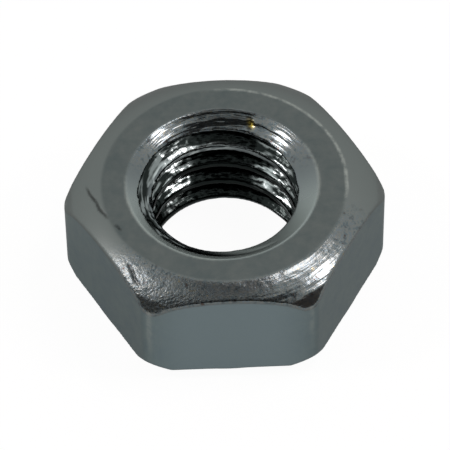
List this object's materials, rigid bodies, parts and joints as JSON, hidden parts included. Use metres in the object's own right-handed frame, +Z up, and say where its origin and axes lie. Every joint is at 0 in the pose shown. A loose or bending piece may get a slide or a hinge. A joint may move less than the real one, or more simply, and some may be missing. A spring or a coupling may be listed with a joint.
{
  "type": "hex nut",
  "caption": "Plain hexagon nut with rounded corners, a crowned chamfer above, a bevelled bearing face below and a countersunk tapped bore, in bright zinc plated steel.",
  "frame": {"origin": "middle of the lower bearing face, on the axis of the bore", "axes": "+Z up the bore, away from the face that it lies on; two of the six flats face along +Y and -Y, and two corners point along +X and -X"},
  "size_m": [0.0148, 0.013, 0.006],
  "materials": {
    "zinc_plated_steel": "satin bright zinc plate over cold formed steel, brighter on the crowned chamfer and the cut thread"
  },
  "bodies": {
    "root": {"nut": "zinc_plated_steel"}
  },
  "joints": []
}
